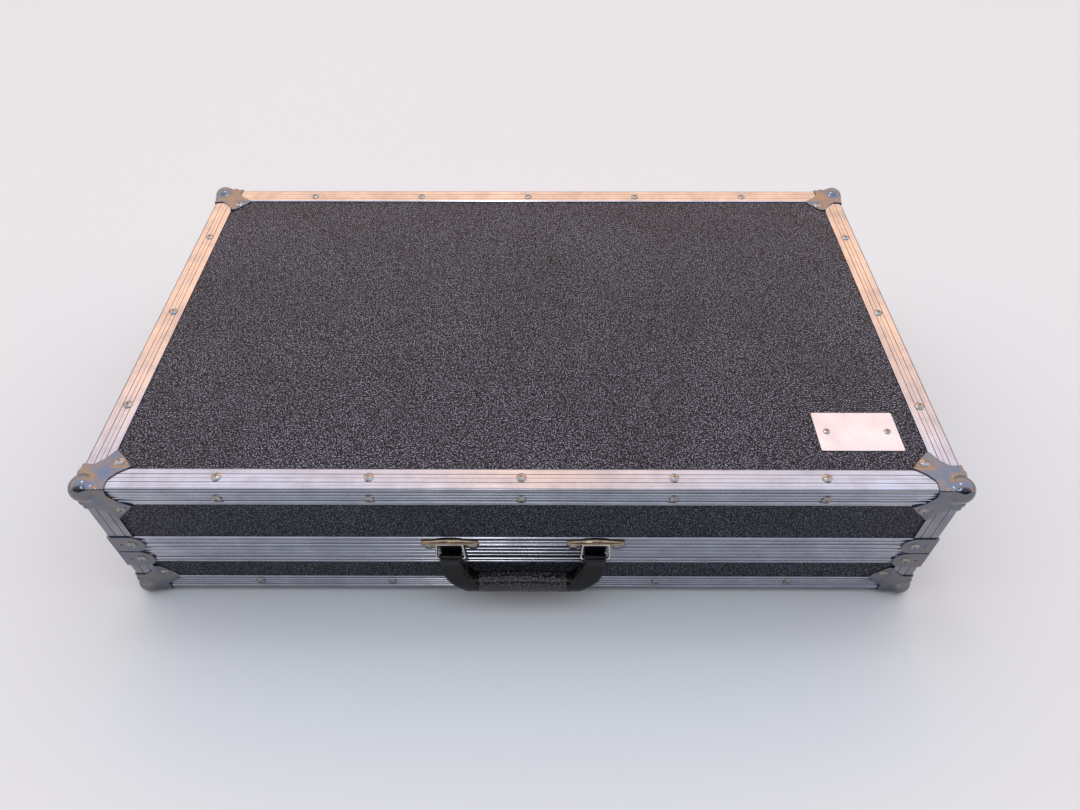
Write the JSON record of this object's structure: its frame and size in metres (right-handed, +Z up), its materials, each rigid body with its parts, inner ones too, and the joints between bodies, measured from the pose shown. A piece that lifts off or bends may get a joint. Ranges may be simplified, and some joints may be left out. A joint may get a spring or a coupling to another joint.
{
  "type": "flight case",
  "caption": "Low flight case for a DJ controller: laminate panels in aluminium edging, ball corners, rear-hinged lid, folding front handle and recessed end latches.",
  "frame": {"origin": "centre of the overall box at the floor, under the ball corners", "axes": "+X to the right seen from the front, +Y to the back (hinges), +Z up; the handle is on the -Y face"},
  "size_m": [0.813, 0.5066, 0.1887],
  "materials": {
    "laminate": "pebble-grain dark laminate on plywood",
    "aluminium_extrusion": "bright extruded",
    "zinc_steel": "pressed, zinc plated",
    "rivet_steel": "bright domed heads",
    "nickel_steel": "polished nickel plate",
    "latch_steel": "zinc plated",
    "black_plastic": "moulded, pebbled on the bar",
    "name_plate": "satin, bare",
    "foam": "charcoal open-cell foam"
  },
  "bodies": {
    "base": {"base_back_panel": "laminate", "base_ball_corners": "zinc_steel", "base_bottom_panel": "laminate", "base_corner_braces": "zinc_steel", "base_corner_posts": "aluminium_extrusion", "base_corner_rivets": "rivet_steel", "base_edge_back": "aluminium_extrusion", "base_edge_front": "aluminium_extrusion", "base_edge_left": "aluminium_extrusion", "base_edge_right": "aluminium_extrusion", "base_edge_rivets": "rivet_steel", "base_fitting_rivets": "rivet_steel", "base_foam_floor": "foam", "base_foam_walls": "foam", "base_front_panel": "laminate", "base_left_panel": "laminate", "base_right_panel": "laminate", "base_valance_back": "aluminium_extrusion", "base_valance_front": "aluminium_extrusion", "base_valance_left": "aluminium_extrusion", "base_valance_right": "aluminium_extrusion", "hinge_base_leaves": "zinc_steel", "hinge_pins": "zinc_steel", "latch_dish_left": "latch_steel", "latch_dish_right": "latch_steel"},
    "lid": {"handle_brackets": "nickel_steel", "hinge_lid_leaves": "zinc_steel", "keeper_dish_left": "latch_steel", "keeper_dish_right": "latch_steel", "lid_back_panel": "laminate", "lid_ball_corners": "zinc_steel", "lid_corner_braces": "zinc_steel", "lid_corner_posts": "aluminium_extrusion", "lid_corner_rivets": "rivet_steel", "lid_edge_back": "aluminium_extrusion", "lid_edge_front": "aluminium_extrusion", "lid_edge_left": "aluminium_extrusion", "lid_edge_right": "aluminium_extrusion", "lid_edge_rivets": "rivet_steel", "lid_fitting_rivets": "rivet_steel", "lid_foam_pad": "foam", "lid_foam_walls": "foam", "lid_front_panel": "laminate", "lid_left_panel": "laminate", "lid_right_panel": "laminate", "lid_top_panel": "laminate", "lid_valance_back": "aluminium_extrusion", "lid_valance_front": "aluminium_extrusion", "lid_valance_left": "aluminium_extrusion", "lid_valance_right": "aluminium_extrusion", "name_plate": "name_plate"},
    "handle_rings": {"handle_rings": "nickel_steel"},
    "handle_grip": {"handle_grip": "black_plastic"},
    "latch_hook_left": {"latch_hook_left": "latch_steel"},
    "latch_hook_right": {"latch_hook_right": "latch_steel"},
    "latch_rotor_left": {"latch_rotor_left": "latch_steel"},
    "latch_rotor_right": {"latch_rotor_right": "latch_steel"},
    "latch_wing_left": {"latch_wing_left": "latch_steel"},
    "latch_wing_right": {"latch_wing_right": "latch_steel"}
  },
  "joints": [
    {"name": "lid_swing", "type": "hinge", "parent": "base", "child": "lid", "pos_m": [0, 0.2502, 0.07935], "axis": [-1, 0, 0], "range_deg": [0, 95]},
    {"name": "ring_swing", "type": "hinge", "parent": "lid", "child": "handle_rings", "pos_m": [0, -0.2344, 0.0977], "axis": [-1, 0, 0], "range_deg": [0, 100]},
    {"name": "grip_swing", "type": "hinge", "parent": "handle_rings", "child": "handle_grip", "pos_m": [0, -0.2367, 0.0767], "axis": [-1, 0, 0], "range_deg": [0, 60]},
    {"name": "latch_turn_right", "type": "hinge", "parent": "base", "child": "latch_rotor_right", "pos_m": [0.4, -0.0522, 0.0592], "axis": [1, 0, 0], "range_deg": [0, 180]},
    {"name": "wing_fold_right", "type": "hinge", "parent": "latch_rotor_right", "child": "latch_wing_right", "pos_m": [0.3979, -0.0522, 0.0592], "axis": [0, -1, 0], "range_deg": [0, 90]},
    {"name": "hook_pull_right", "type": "slide", "parent": "base", "child": "latch_hook_right", "axis": [-0.4789, 0, -0.8779], "range_m": [0, 0.00626]},
    {"name": "latch_turn_left", "type": "hinge", "parent": "base", "child": "latch_rotor_left", "pos_m": [-0.4, -0.0522, 0.0592], "axis": [-1, 0, 0], "range_deg": [0, 180]},
    {"name": "wing_fold_left", "type": "hinge", "parent": "latch_rotor_left", "child": "latch_wing_left", "pos_m": [-0.3979, -0.0522, 0.0592], "axis": [0, 1, 0], "range_deg": [0, 90]},
    {"name": "hook_pull_left", "type": "slide", "parent": "base", "child": "latch_hook_left", "axis": [0.4789, 0, -0.8779], "range_m": [0, 0.00626]}
  ],
  "couplings": [
    {"joint": "hook_pull_right", "follows": "latch_turn_right", "m_per_rad": 0.0019932},
    {"joint": "hook_pull_left", "follows": "latch_turn_left", "m_per_rad": 0.0019932}
  ]
}
